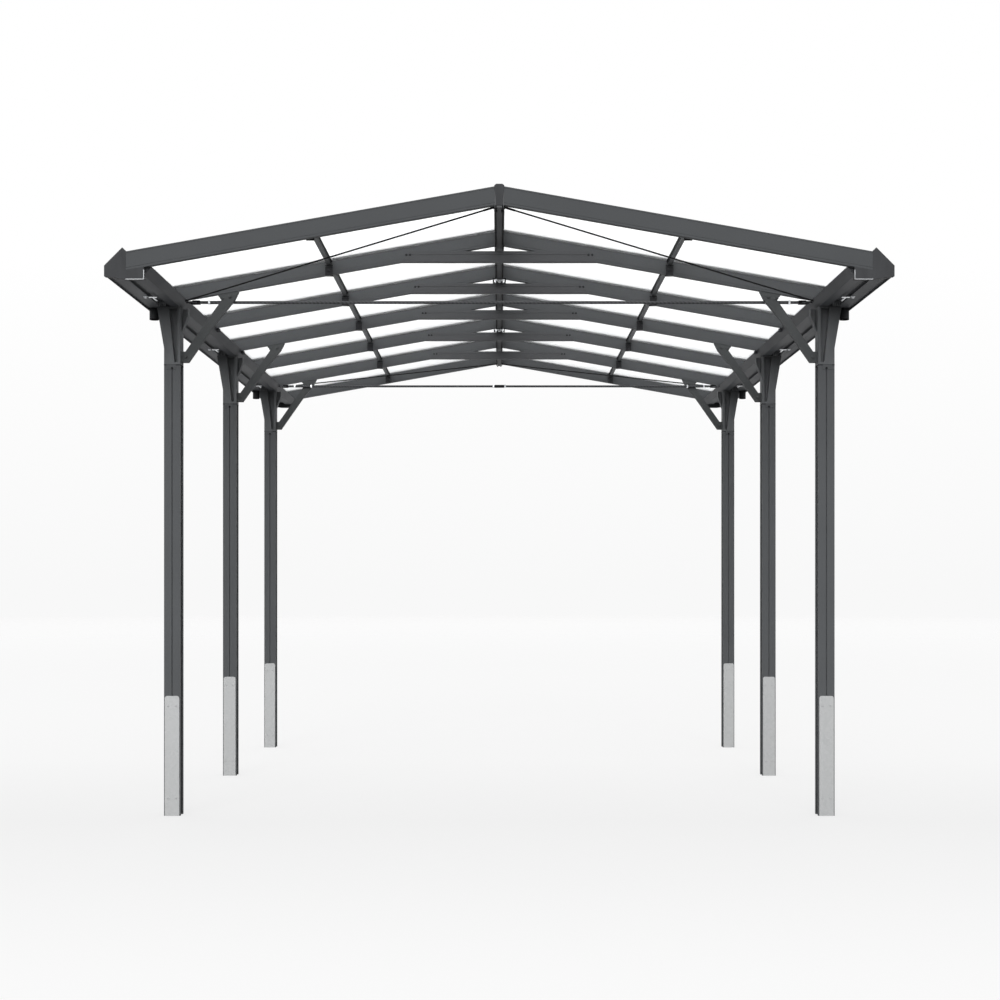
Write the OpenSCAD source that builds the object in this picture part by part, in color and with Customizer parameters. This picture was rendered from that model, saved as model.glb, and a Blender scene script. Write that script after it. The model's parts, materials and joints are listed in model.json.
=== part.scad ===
// Open carport with a gable roof: six posts, two gutter beams, seven rafter pairs, clear roof sheets.
// Frame: +Z up, X across the carport, Y along it, origin on the floor at the centre of the plan.

/* [Overall] */
// Length of the roof over the two gable rafters
length = 5030; // [3800:10:6600]
// Distance across the carport between the post centres
post_spacing = 3334; // [2600:2:4200]
// Height of the gutter beams' underside above the floor
eave_h = 2595; // [2100:5:3200]
// Slope of the roof in degrees
roof_pitch = 10; // [6:0.5:16]

/* [Posts] */
// Width of a post across the carport
post_w = 83; // [70:1:110]
// Depth of a post along the carport
post_d = 80; // [70:1:110]
// Width of the recess in a post's two side faces
side_recess_w = 40; // [20:1:46]
// Depth of the recess in a post's side faces
side_recess_d = 15; // [5:1:20]
// Width of the groove down a post's front and back faces
face_groove_w = 5; // [3:0.5:8]
// Depth of the groove down a post's front and back faces
face_groove_d = 8; // [4:1:14]

/* [Foot plates] */
// Width of a foot plate
foot_plate_w = 74; // [60:1:83]
// Height of a foot plate
foot_plate_h = 611; // [300:1:800]
// Thickness of a foot plate
foot_plate_t = 4; // [3:0.5:6]
// Radius of a foot plate's top corners
foot_plate_r = 13; // [5:1:25]

/* [Post heads] */
// Height of a post head, from its seam on the post to the gutter beam
head_h = 295; // [230:5:340]
// Height over which the head stays as straight as the post
head_straight_h = 83; // [60:1:110]
// Distance from the post centre out to the head's outer side at its top
head_out = 78; // [70:0.5:80]
// How far the head's inner side flares past the post
head_flare_in = 32; // [20:1:40]
// Thickness of the web in the middle of a head
head_web_t = 16; // [10:1:30]

/* [Knee braces] */
// Width of a knee brace
brace_w = 45; // [30:1:55]
// Thickness of a knee brace along the carport
brace_t = 24; // [14:1:26]
// Angle of a knee brace above level, in degrees
brace_angle = 55; // [48:1:60]
// Height of the middle of a brace's foot below the gutter beam
brace_foot_drop = 286; // [270:1:300]

/* [Gutter beams] */
// Distance from the post centre out to the beam's outer face
gutter_out = 133; // [115:1:150]
// Distance from the post centre in to the beam's lower inner edge
gutter_in = 37; // [30:1:45]
// How far the inner face leans inwards up to the rafters' seat
gutter_lean = 33; // [20:1:45]
// Height of the rafters' seat at its inner edge above the beam's underside
seat_h = 39; // [34:1:50]
// Height of the upright outer face
gutter_face_h = 38; // [25:1:50]
// Height and width of the slanting fascia above the upright face
fascia_run = 79; // [60:1:90]
// Wall thickness of the beam
gutter_wall = 3; // [2:0.5:4]
// How far the drip lip hangs below the beam along its outer edge
drip_h = 9; // [4:1:14]
// Width of the channel in the underside that takes the post heads
channel_w = 51; // [44:1:56]
// Depth of that channel
channel_h = 45; // [30:1:50]
// Distance from the post centre to the channel's inner side
channel_in = 8; // [4:1:12]

/* [Outlets] */
// Outer radius of a rainwater outlet
outlet_r = 24; // [20:0.5:25]
// Wall thickness of an outlet
outlet_wall = 4; // [2:0.5:5]
// How far an outlet hangs below the gutter beam
outlet_h = 55; // [30:1:80]
// Distance along the carport from a post's centre to the outlet beside it
outlet_offset = 17; // [0:1:120]
// Room between an outlet and the drip lip for the wall of a downpipe
outlet_gap = 2; // [2:0.5:4]

/* [Rafters] */
// Thickness of a rafter along the carport
rafter_t = 30; // [26:1:40]
// Depth of a rafter square to the slope
rafter_h = 70; // [55:1:90]
// Height of the gable rafters' edge above the other rafters
gable_rise = 14; // [12:1:20]
// Thickness of the gable rafters' raised edge
gable_edge_t = 14; // [8:1:16]
// Distance from the post centre out to the end of a gable rafter
gable_out = 39; // [30:1:45]
// Height and depth of the two fine grooves in a rafter's faces
line_groove = 2; // [1:0.5:3]

/* [Collars] */
// Height of the collars' lower edge below the rafters' underside at the ridge
collar_drop = 88; // [70:1:110]
// Height of a collar
collar_h = 55; // [45:1:65]
// Thickness of the collars' plates
collar_wall = 3; // [2:0.5:4]
// Height of the fine groove in a collar's faces above its lower edge
collar_line = 35; // [10:1:40]

/* [Ridge] */
// Width of the ridge beam
ridge_w = 43; // [36:1:50]
// How far the ridge beam hangs below the rafters' underside
ridge_drop = 16; // [10:1:24]
// How far the ridge beam's lips reach over the sheets on each side
ridge_lip = 4; // [3:1:30]
// Height of the ridge's crown above the gable rafters' edge
ridge_crown_h = 7; // [4:1:14]

/* [Purlins] */
// Distance of a purlin from the middle of the carport
purlin_x = 870; // [700:5:1000]
// Width of a purlin
purlin_w = 30; // [24:1:36]
// Depth of a purlin
purlin_h = 22; // [16:1:28]
// Depth of the bracket under each end of a purlin
purlin_bracket_h = 46; // [30:1:48]

/* [Roof sheets] */
// Thickness of a roof sheet
sheet_t = 6; // [4:0.5:10]
// Gap between neighbouring sheets
sheet_gap = 8; // [4:1:12]
// How far the sheets reach past the rafters' seats over the gutter
sheet_overhang = 15; // [5:1:30]
// Width of the glazing bars over the joints between sheets
bar_w = 34; // [32:1:56]

/* [Ties] */
// Radius of a tie rod
tie_r = 7.75; // [4:0.25:9]
// Height of a tie rod above the gutter beams' underside
tie_rise = 32; // [24:1:32]
// Radius of a brace wire
wire_r = 4; // [1.5:0.25:4.5]

/* [Hidden] */
// Clearance where one piece passes beside another
clear = 2;
// Bays between the rafters and the rafters that stand on posts, which the node names follow
bays = 6;
POST_RAFTERS = [1, 3, 5];

$fn = 48;

LEFT = -1;
RIGHT = 1;
FRONT = -1;
REAR = 1;

post_x = post_spacing / 2;
post_top = eave_h - head_h;
slope = tan(roof_pitch);
bay = (length - rafter_t) / bays;
half_l = length / 2;

// The rafters' underside rests on the seats of the two gutter beams
seat_x = post_x - gutter_in - gutter_lean;
seat_z = eave_h + seat_h;
rafter_v = rafter_h / cos(roof_pitch);
sheet_v = sheet_t / cos(roof_pitch);
bar_v = gable_rise - sheet_v;

// Distance from the middle of the ridge to the edge of its lips
ridge_wing = ridge_w / 2 + ridge_lip;

// Distance from the post centre in to the stop that the rafters' ends meet
stop_in = 10;
rafter_end = post_x - stop_in;
sheet_end = rafter_end + sheet_overhang;
gable_end = post_x + gable_out;
gutter_l = length - 2 * rafter_t;

function rafter_y(i) = -half_l + rafter_t / 2 + i * bay;
function under(x) = seat_z + (seat_x - x) * slope;
function top(x) = under(x) + rafter_v;
function sheet_top(x) = top(x) + sheet_v;
// Height above the beam's underside, at a distance from the post centre
function seat(u) = under(post_x + u) - eave_h;
// Inner face of the gutter beam, as a distance from the centre of the carport
function inner_face(v) = post_x - gutter_in - gutter_lean * v / seat_h;

// The ridge's crown stands a little wider than its beam, above the gable rafters
gable_top = under(0) + rafter_v + gable_rise;
crown = gable_top + ridge_crown_h;
crown_half = ridge_w / 2 + 1.5;
crown_bevel = 9;

// Extrudes an outline in X and Z along Y, from y0 over a length
module along_y(y0, l) {
    translate([0, y0 + l, 0])
        rotate([90, 0, 0])
            linear_extrude(l)
                children();
}

// The left side is the right side's mirror image
module on_side(side) {
    mirror([side == LEFT ? 1 : 0, 0, 0])
        children();
}

module both_sides() {
    on_side(LEFT) children();
    on_side(RIGHT) children();
}

// A strip that follows the roof slope, between two distances from the ridge and two heights
module slope_strip(x0, x1, low, high) {
    polygon([
        [x0, under(x0) + low],
        [x1, under(x1) + low],
        [x1, under(x1) + high],
        [x0, under(x0) + high]
    ]);
}

module post_outline() {
    difference() {
        square([post_w, post_d], center = true);
        for (s = [-1, 1]) {
            translate([0, s * post_d / 2])
                square([face_groove_w, 2 * face_groove_d], center = true);
            translate([s * post_w / 2, 0])
                square([2 * side_recess_d, side_recess_w], center = true);
        }
    }
}

module post(side, i) {
    color("#5e6062")
        translate([side * post_x, rafter_y(i), 0])
            linear_extrude(post_top)
                post_outline();
}

module foot_plate_outline() {
    half = foot_plate_w / 2;
    translate([-half, 0])
        square([foot_plate_w, foot_plate_h - foot_plate_r]);
    translate([-half + foot_plate_r, 0])
        square([foot_plate_w - 2 * foot_plate_r, foot_plate_h]);
    for (s = [-1, 1])
        translate([s * (half - foot_plate_r), foot_plate_h - foot_plate_r])
            circle(foot_plate_r);
}

module foot_plates(side) {
    color("#bcbcbc")
        for (i = POST_RAFTERS)
            for (y = [-post_d / 2 - foot_plate_t, post_d / 2])
                translate([side * post_x, rafter_y(i), 0])
                    along_y(y, foot_plate_t)
                        foot_plate_outline();
}

// Outline of a post head, with x measured outwards from the post centre and y as the height
module head_outline() {
    half = post_w / 2;
    polygon([
        [-half, post_top],
        [half, post_top],
        [half, post_top + head_straight_h],
        [head_out, eave_h],
        [-half, eave_h]
    ]);
}

// The tapering hollow in a head's front and back faces
module head_recess_outline() {
    half = post_w / 2;
    flange = 14;
    strip_bottom = 53;
    strip_top = 61;
    low = post_top + 13;
    high = eave_h - 8;
    polygon([
        [flange - half, low],
        [half - strip_bottom, low],
        [head_out - strip_top, high],
        [flange - half, high]
    ]);
}

// The gusset on a head's inner side, under the gutter beam
module head_gusset_outline() {
    half = post_w / 2;
    polygon([
        [-half, eave_h - 125],
        [-half, eave_h],
        [-half - head_flare_in, eave_h],
        [-half - head_flare_in, eave_h - 38]
    ]);
}

// The toothed tongue that stands in the gutter beam's channel
module head_tongue() {
    tongue_w = channel_w - 4 * clear;
    tongue_h = channel_h - clear;
    tongue_l = post_d - 10;
    slots = 4;
    slot_d = 12;
    pitch = tongue_w / slots;
    slot_w = pitch * 0.4;
    x0 = channel_in + 2 * clear;
    difference() {
        translate([x0, -tongue_l / 2, eave_h])
            cube([tongue_w, tongue_l, tongue_h]);
        for (k = [0 : slots - 1])
            for (s = [-1, 1])
                translate([x0 + pitch * (k + 0.5) - slot_w / 2, s * tongue_l / 2 - slot_d, eave_h])
                    cube([slot_w, 2 * slot_d, tongue_h + 1]);
    }
}

module post_head() {
    recess_d = (post_d - head_web_t) / 2;
    gusset_y = -4;
    gusset_wall = 3;
    difference() {
        along_y(-post_d / 2, post_d)
            head_outline();
        for (y = [-post_d / 2 - 1, post_d / 2 - recess_d])
            along_y(y, recess_d + 1)
                head_recess_outline();
    }
    // The gusset is a shell that is open to the front
    difference() {
        along_y(gusset_y, post_d / 2 - gusset_y)
            head_gusset_outline();
        along_y(gusset_y - 1, post_d / 2 - gusset_y - gusset_wall + 1)
            translate([gusset_wall, 1])
                head_gusset_outline();
    }
    head_tongue();
}

module post_heads(side) {
    color("#55575a")
        on_side(side)
            for (i = POST_RAFTERS)
                translate([post_x, rafter_y(i), 0])
                    post_head();
}

// A knee brace from its foot bracket on the post up to its widened head under the rafter
module knee_brace_outline() {
    inner = post_x - post_w / 2;
    foot_plate = 5;
    start = inner - foot_plate;
    foot_z = eave_h - brace_foot_drop;
    foot_low = foot_z + 5;
    foot_high = foot_low + 56;
    half_z = brace_w / 2 / cos(brace_angle);
    rise = tan(brace_angle);
    // Where an edge of the brace, offset in height, lies a drop below the rafter's underside
    function edge_x(dz, drop) = (foot_z + dz + start * rise - under(0) + drop) / (rise - slope);
    function edge(dz, drop) = [edge_x(dz, drop), under(edge_x(dz, drop)) - drop];
    // Where an edge of the brace passes a height
    function edge_at(dz, z) = [start - (z - foot_z - dz) / rise, z];
    x_in = edge_x(-half_z, 0);
    x_out = edge_x(half_z, 0) + 42;
    polygon([
        [inner, foot_high],
        [inner, foot_low],
        edge_at(-half_z, foot_low),
        edge(-half_z, 130),
        [x_in + 22, under(x_in + 22) - 45],
        [x_in, under(x_in) - 6],
        [x_in, under(x_in)],
        [x_out, under(x_out)],
        [x_out, under(x_out) - 8],
        edge(half_z, 30),
        edge_at(half_z, foot_high)
    ]);
}

module knee_brace(side, i) {
    color("#5a5c5e")
        on_side(side)
            translate([0, rafter_y(i), 0])
                along_y(-brace_t / 2, brace_t)
                    knee_brace_outline();
}

// Section of a gutter beam, with x measured outwards from the post centre and y up from its underside
module gutter_outline() {
    wall = gutter_wall;
    diagonal = wall * sqrt(2);
    channel_out = channel_in + channel_w;
    lip_x = gutter_out - fascia_run;
    lip_z = gutter_face_h + fascia_run;
    stop_h = 70;
    polygon([
        [-gutter_in, 0],
        [channel_in, 0],
        [channel_in, channel_h],
        [channel_out, channel_h],
        [channel_out, 0],
        [gutter_out - wall, 0],
        [gutter_out - wall, -drip_h],
        [gutter_out, -drip_h],
        [gutter_out, gutter_face_h],
        [lip_x, lip_z],
        [lip_x - diagonal, lip_z],
        [gutter_out - wall, gutter_face_h + wall - diagonal],
        [gutter_out - wall, wall],
        [channel_out + wall, wall],
        [channel_out + wall, channel_h + wall],
        [-stop_in + wall, channel_h + wall],
        [-stop_in + wall, stop_h],
        [-stop_in, stop_h],
        [-stop_in, seat(-stop_in)],
        [-gutter_in - gutter_lean, seat_h]
    ]);
}

// Centre of the outlets, measured from the post centre, and their places along the carport
outlet_u = gutter_out - gutter_wall - outlet_gap - outlet_r;
outlet_ys = [rafter_y(1) + outlet_offset, rafter_y(5) - outlet_offset];

module gutter_beam(side) {
    color("#4e4f51")
        on_side(side)
            translate([post_x, 0, eave_h])
                difference() {
                    along_y(-gutter_l / 2, gutter_l)
                        gutter_outline();
                    for (y = outlet_ys)
                        translate([outlet_u, y, -1])
                            cylinder(h = gutter_wall + 2, r = outlet_r - outlet_wall);
                }
}

// An end cap closes the beam and is notched for the gable rafter
module gutter_cap_outline() {
    margin = 6;
    drop = 23;
    lip_x = gutter_out - fascia_run;
    lip_z = gutter_face_h + fascia_run;
    polygon([
        [gable_out, seat(gable_out)],
        [gable_out, seat(gable_out) + rafter_v + gable_rise],
        [lip_x + 2, lip_z + margin],
        [gutter_out + margin, gutter_face_h + 2],
        [gutter_out + margin, -drip_h],
        [gable_out + 7, -drop],
        [-gutter_in - margin, -drop],
        [-gutter_in - margin, seat(-gutter_in - margin)]
    ]);
}

module gutter_caps(side) {
    color("#4b4b4c")
        on_side(side)
            translate([post_x, 0, eave_h])
                for (y = [-half_l, half_l - rafter_t])
                    along_y(y, rafter_t)
                        gutter_cap_outline();
}

module gutter_outlets() {
    color("#3c3d3f")
        both_sides()
            for (y = outlet_ys)
                translate([post_x + outlet_u, y, eave_h - outlet_h])
                    difference() {
                        cylinder(h = outlet_h, r = outlet_r);
                        translate([0, 0, -1])
                            cylinder(h = outlet_h + 2, r = outlet_r - outlet_wall);
                    }
}

module ridge_beam() {
    half = ridge_w / 2;
    bottom = under(0) - ridge_drop;
    wing_t = 3;
    slot_w = 6;
    slot_d = 10;
    slot_x = half - 6;
    color("#55575a") {
        along_y(-half_l, length)
            difference() {
                polygon([
                    [-half, bottom],
                    [half, bottom],
                    [half, gable_top],
                    [crown_half, gable_top],
                    [crown_half - crown_bevel, crown],
                    [crown_bevel - crown_half, crown],
                    [-crown_half, gable_top],
                    [-half, gable_top]
                ]);
                // A slot along each edge of the underside
                for (s = [-1, 1])
                    translate([s * slot_x, bottom])
                        square([slot_w, 2 * slot_d], center = true);
            }
        along_y(-half_l + gable_edge_t, length - 2 * gable_edge_t)
            polygon([
                [-ridge_wing, sheet_top(ridge_wing)],
                [0, sheet_top(0)],
                [ridge_wing, sheet_top(ridge_wing)],
                [ridge_wing, sheet_top(ridge_wing) + wing_t],
                [0, sheet_top(0) + wing_t],
                [-ridge_wing, sheet_top(ridge_wing) + wing_t]
            ]);
    }
}

module ridge_caps() {
    cap_t = 3;
    narrow = 15.5;
    waist = under(0) + 25;
    foot = under(0) - 6;
    color("#454648")
        for (y = [-half_l - cap_t, half_l])
            along_y(y, cap_t)
                polygon([
                    [-narrow, foot],
                    [narrow, foot],
                    [narrow, waist],
                    [crown_half, gable_top],
                    [crown_half - crown_bevel, crown],
                    [crown_bevel - crown_half, crown],
                    [-crown_half, gable_top],
                    [-narrow, waist]
                ]);
}

// Fine grooves along a rafter's faces, near its top and its bottom edge
module rafter_lines(x1, high) {
    lip = 9;
    for (y = [-rafter_t / 2 - 1, rafter_t / 2 + 1 - line_groove])
        for (low = [lip, high - lip])
            along_y(y, line_groove)
                slope_strip(0, x1 + 1, low, low + line_groove);
}

module rafters(i) {
    color("#5b5d5f")
        translate([0, rafter_y(i), 0])
            both_sides()
                difference() {
                    along_y(-rafter_t / 2, rafter_t)
                        slope_strip(ridge_w / 2, rafter_end, 0, rafter_v);
                    rafter_lines(rafter_end, rafter_v);
                }
}

// A gable rafter has a raised edge that hides the ends of the sheets
module gable_rafters(end) {
    y0 = end == FRONT ? -half_l : half_l - gable_edge_t;
    ledge = end == FRONT ? -half_l : half_l - rafter_t;
    color("#585a5c")
        both_sides()
            difference() {
                union() {
                    along_y(ledge, rafter_t)
                        slope_strip(ridge_w / 2, gable_end, 0, rafter_v);
                    along_y(y0, gable_edge_t)
                        slope_strip(ridge_w / 2, gable_end, 0, rafter_v + gable_rise);
                }
                translate([0, ledge + rafter_t / 2, 0])
                    rafter_lines(gable_end, rafter_v + gable_rise);
            }
}

// A collar is a channel that takes both rafters between its two plates
module collar(i) {
    z0 = under(0) - collar_drop;
    x_end = collar_drop / slope;
    x_web = (collar_drop - collar_wall) / slope;
    x_top = x_end - 40;
    groove = 1.5;
    color("#5d5f61")
        translate([0, rafter_y(i), 0]) {
            for (s = [FRONT, REAR])
                difference() {
                    along_y(s * (rafter_t + collar_wall) / 2 - collar_wall / 2, collar_wall)
                        polygon([
                            [-x_end, z0],
                            [x_end, z0],
                            [x_end, z0 + 6],
                            [x_top, z0 + collar_h],
                            [-x_top, z0 + collar_h],
                            [-x_end, z0 + 6]
                        ]);
                    translate([-x_end, s * (rafter_t / 2 + collar_wall) - groove, z0 + collar_line])
                        cube([2 * x_end, 2 * groove, line_groove]);
                }
            along_y(-rafter_t / 2, rafter_t)
                polygon([
                    [-x_end, z0],
                    [x_end, z0],
                    [x_web, z0 + collar_wall],
                    [-x_web, z0 + collar_wall]
                ]);
        }
}

// A purlin between two rafters, with a bracket under each end
module purlin() {
    half = purlin_w / 2;
    rib = purlin_w / 4;
    flange_h = 8;
    bracket_w = purlin_w + 6;
    bracket_t = 8;
    span = bay - rafter_t;
    along_y(0, span) {
        slope_strip(purlin_x - half, purlin_x + half, rafter_v - flange_h, rafter_v);
        slope_strip(purlin_x - rib, purlin_x + rib, rafter_v - purlin_h, rafter_v);
    }
    for (y = [0, span - bracket_t])
        along_y(y, bracket_t)
            slope_strip(
                purlin_x - bracket_w / 2,
                purlin_x + bracket_w / 2,
                rafter_v - purlin_h - purlin_bracket_h,
                rafter_v - flange_h
            );
}

module purlins(side) {
    color("#47484a")
        on_side(side)
            for (i = [0 : bays - 1])
                translate([0, rafter_y(i) + rafter_t / 2, 0])
                    purlin();
}

// The sheets rest on the rafters, and the outer ones end at the gable rafters' raised edges
module roof_sheets(side) {
    edge = half_l - gable_edge_t - 1;
    color("#eef2f3", 0.6)
        on_side(side)
            for (i = [0 : bays - 1]) {
                y0 = i == 0 ? -edge : rafter_y(i) + sheet_gap / 2;
                y1 = i == bays - 1 ? edge : rafter_y(i + 1) - sheet_gap / 2;
                along_y(y0, y1 - y0)
                    slope_strip(ridge_w / 2 + clear, sheet_end, rafter_v, rafter_v + sheet_v);
            }
}

module glazing_bars(side) {
    color("#5b5d5f")
        on_side(side)
            for (i = [1 : bays - 1])
                along_y(rafter_y(i) - bar_w / 2, bar_w)
                    slope_strip(ridge_wing, sheet_end, rafter_v + sheet_v, rafter_v + sheet_v + bar_v);
}

// A lug on the leaning inner face of a gutter beam, centred at a height above its underside
module beam_lug(y, v, half_h, reach, t) {
    along_y(y - t / 2, t)
        polygon([
            [inner_face(v - half_h), eave_h + v - half_h],
            [inner_face(v + half_h), eave_h + v + half_h],
            [inner_face(v) - reach, eave_h + v + half_h * 0.6],
            [inner_face(v) - reach, eave_h + v - half_h * 0.6]
        ]);
}

// A tie rod beside the knee braces, with a turnbuckle near each end and a coupler in the middle
module tie_rod(i, end) {
    y = rafter_y(i) - end * (brace_t / 2 + clear + tie_r);
    z = eave_h + tie_rise;
    reach = 22;
    x_end = inner_face(tie_rise) - reach / 2;
    sleeve_l = 120;
    sleeve_x = seat_x - 228;
    color("#2c2d2f") {
        translate([-x_end, y, z])
            rotate([0, 90, 0])
                cylinder(h = 2 * x_end, r = tie_r);
        both_sides()
            translate([sleeve_x, y, z])
                rotate([0, 90, 0])
                    cylinder(h = sleeve_l, r = tie_r + 1);
        translate([-42, y, z])
            rotate([0, 90, 0])
                cylinder(h = 84, r = tie_r + 1);
        both_sides()
            beam_lug(y, tie_rise, 6, reach, 2 * (tie_r + 1));
    }
}

// Taut wires from the ridge at one gable down to the gutter beams beside the outer posts
module brace_wires(i, end) {
    v = 34;
    reach = 12;
    eye_y = rafter_y(i) + end * (rafter_t / 2 + clear + 8);
    ridge_y = end * (half_l - rafter_t - 8);
    lug_h = 14;
    start = [ridge_w / 2 + 3, ridge_y, under(0) - ridge_drop + lug_h / 2 + 3];
    finish = [inner_face(v) - reach / 2, eye_y, eave_h + v];
    run = finish - start;
    run_l = norm(run);
    color("#333436")
        both_sides() {
            translate(start)
                rotate([0, acos(run[2] / run_l), atan2(run[1], run[0])])
                    cylinder(h = run_l, r = wire_r, $fn = 24);
            translate([ridge_w / 2, ridge_y - 5, start[2] - lug_h / 2])
                cube([6, 10, lug_h]);
            beam_lug(eye_y, v, 5, reach, 10);
        }
}

post(LEFT, POST_RAFTERS[0]);  // front_left_post
post(LEFT, POST_RAFTERS[1]);  // middle_left_post
post(LEFT, POST_RAFTERS[2]);  // rear_left_post
post(RIGHT, POST_RAFTERS[0]);  // front_right_post
post(RIGHT, POST_RAFTERS[1]);  // middle_right_post
post(RIGHT, POST_RAFTERS[2]);  // rear_right_post
foot_plates(LEFT);  // left_foot_plates
foot_plates(RIGHT);  // right_foot_plates
post_heads(LEFT);  // left_post_heads
post_heads(RIGHT);  // right_post_heads
knee_brace(LEFT, POST_RAFTERS[0]);  // front_left_knee_brace
knee_brace(LEFT, POST_RAFTERS[1]);  // middle_left_knee_brace
knee_brace(LEFT, POST_RAFTERS[2]);  // rear_left_knee_brace
knee_brace(RIGHT, POST_RAFTERS[0]);  // front_right_knee_brace
knee_brace(RIGHT, POST_RAFTERS[1]);  // middle_right_knee_brace
knee_brace(RIGHT, POST_RAFTERS[2]);  // rear_right_knee_brace
gutter_beam(LEFT);  // left_gutter_beam
gutter_beam(RIGHT);  // right_gutter_beam
gutter_caps(LEFT);  // left_gutter_caps
gutter_caps(RIGHT);  // right_gutter_caps
gutter_outlets();
ridge_beam();
ridge_caps();
gable_rafters(FRONT);  // front_gable_rafters
rafters(1);  // rafters_2
rafters(2);  // rafters_3
rafters(3);  // rafters_4
rafters(4);  // rafters_5
rafters(5);  // rafters_6
gable_rafters(REAR);  // rear_gable_rafters
collar(1);  // collar_2
collar(2);  // collar_3
collar(3);  // collar_4
collar(4);  // collar_5
collar(5);  // collar_6
purlins(LEFT);  // left_purlins
purlins(RIGHT);  // right_purlins
roof_sheets(LEFT);  // left_roof_sheets
roof_sheets(RIGHT);  // right_roof_sheets
glazing_bars(LEFT);  // left_glazing_bars
glazing_bars(RIGHT);  // right_glazing_bars
tie_rod(POST_RAFTERS[0], FRONT);  // front_tie_rod
tie_rod(POST_RAFTERS[2], REAR);  // rear_tie_rod
brace_wires(POST_RAFTERS[0], FRONT);  // front_brace_wires
brace_wires(POST_RAFTERS[2], REAR);  // rear_brace_wires
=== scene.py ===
# %% [markdown]
# # Finishing an open carport
# The frame of this carport is built: posts, gutter beams, rafters and sheets arrive as fixed solids.
# This lesson gives each of them the finish of the real one, adds the small metalwork that holds it
# together, and sets up a plain studio. Lengths are in metres, +Z is up, and the front gable faces -Y.

# %% Load the frame
import json
import math

import bmesh
import bpy
from mathutils import Matrix, Vector


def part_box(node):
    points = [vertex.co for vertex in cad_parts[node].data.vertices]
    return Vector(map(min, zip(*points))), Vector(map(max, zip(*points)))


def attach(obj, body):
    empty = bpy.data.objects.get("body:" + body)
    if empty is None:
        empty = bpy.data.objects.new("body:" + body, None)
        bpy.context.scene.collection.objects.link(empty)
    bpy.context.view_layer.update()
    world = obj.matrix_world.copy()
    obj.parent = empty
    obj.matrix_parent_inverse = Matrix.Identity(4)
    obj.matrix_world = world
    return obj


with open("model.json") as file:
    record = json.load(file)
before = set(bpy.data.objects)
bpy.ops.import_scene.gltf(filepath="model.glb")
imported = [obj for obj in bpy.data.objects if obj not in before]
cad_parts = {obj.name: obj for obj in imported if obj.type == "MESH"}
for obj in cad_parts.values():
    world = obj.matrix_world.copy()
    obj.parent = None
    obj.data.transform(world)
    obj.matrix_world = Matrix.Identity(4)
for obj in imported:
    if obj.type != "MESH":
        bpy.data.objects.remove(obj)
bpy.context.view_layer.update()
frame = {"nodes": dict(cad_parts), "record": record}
nodes = frame["nodes"]

# %% [markdown]
# ## Where things are
# Every place comes from a solid's box, so the small parts stay on their big ones. The six posts give
# six centres, the gutter beams give the height of their underside, and a rafter gives the roof's slope.

# %% Read the places from the solids
SIDES = {"left": -1, "right": 1}
ENDS = {"front": -1, "middle": 0, "rear": 1}

posts = {}
for end in ENDS:
    for side in SIDES:
        low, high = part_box(f"{end}_{side}_post")
        posts[end, side] = ((low.x + high.x) / 2, (low.y + high.y) / 2)
low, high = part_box("front_right_post")
POST_W, POST_D, POST_TOP = high.x - low.x, high.y - low.y, high.z
POST_X = (low.x + high.x) / 2

SEAT_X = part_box("right_gutter_beam")[0].x
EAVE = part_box("gutter_outlets")[1].z
RIDGE_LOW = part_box("ridge_beam")[0].z

PITCH = math.radians(10)
SLOPE = math.tan(PITCH)
low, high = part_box("rafters_2")
RAFTER_END, RAFTER_LOW, RAFTER_T = high.x, low.z, high.y - low.y
rafter_y = {n: sum(b.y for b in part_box(f"rafters_{n}")) / 2 for n in range(2, 7)}


def under(x):
    """Height of the rafters' underside at a distance from the middle."""
    return RAFTER_LOW + (RAFTER_END - abs(x)) * SLOPE


low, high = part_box("right_roof_sheets")
SHEET_END, SHEET_BASE, HALF_L = high.x, low.z - under(high.x), high.y
print("posts at", [tuple(round(v, 3) for v in c) for c in posts.values()])
print("eave", round(EAVE, 3), "ridge underside", round(under(0), 3))
print("sheets lie", round(SHEET_BASE, 4), "above the rafters' underside")

# %% [markdown]
# ## The camera
# The viewer stands on the middle line, at the height of a seated person, and looks level along +Y.
# A level camera keeps the posts upright. A little lens shift brings the roof into the picture.

# %% Add the camera
EYE = Vector((0, -9.52, 1.166))
camera_data = bpy.data.cameras.new("camera")
camera_data.sensor_width = 36
camera_data.lens = 55.2
camera_data.shift_x = 0.0007
camera_data.shift_y = 0.087
camera_data.clip_end = 400
camera = bpy.data.objects.new("camera", camera_data)
camera.location = EYE
camera.rotation_euler = (math.radians(90), 0, 0)
bpy.context.scene.collection.objects.link(camera)
bpy.context.scene.camera = camera
bpy.context.scene.view_settings.view_transform = "Standard"
print("camera", round(camera_data.lens, 1), "mm, at", tuple(camera.location))

# %% [markdown]
# ## Colours and nodes
# Colours are written as the hex values a painter would read off a chart, and one function turns them
# to the linear numbers that shaders use. One more function adds a node with its settings and links.


# %% Two helpers for materials
def linear(hex_colour):
    """A hex colour as linear red, green, blue and alpha."""
    values = [int(hex_colour[n : n + 2], 16) / 255 for n in (1, 3, 5)]
    return (*[v / 12.92 if v <= 0.04045 else ((v + 0.055) / 1.055) ** 2.4 for v in values], 1.0)


def add(tree, kind, sockets=None, **settings):
    """Adds a node. settings are its properties. sockets are values or outputs for its inputs."""
    made = tree.nodes.new(kind)
    for name, value in settings.items():
        setattr(made, name, value)
    for name, value in (sockets or {}).items():
        if isinstance(value, bpy.types.NodeSocket):
            tree.links.new(value, made.inputs[name])
        else:
            made.inputs[name].default_value = value
    return made


def new_material(name):
    """An empty material and its node tree."""
    made = bpy.data.materials.new(name)
    made.use_nodes = True
    made.node_tree.nodes.clear()
    return made, made.node_tree


print("anthracite as linear:", [round(v, 3) for v in linear("#4b4d4f")])

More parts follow.
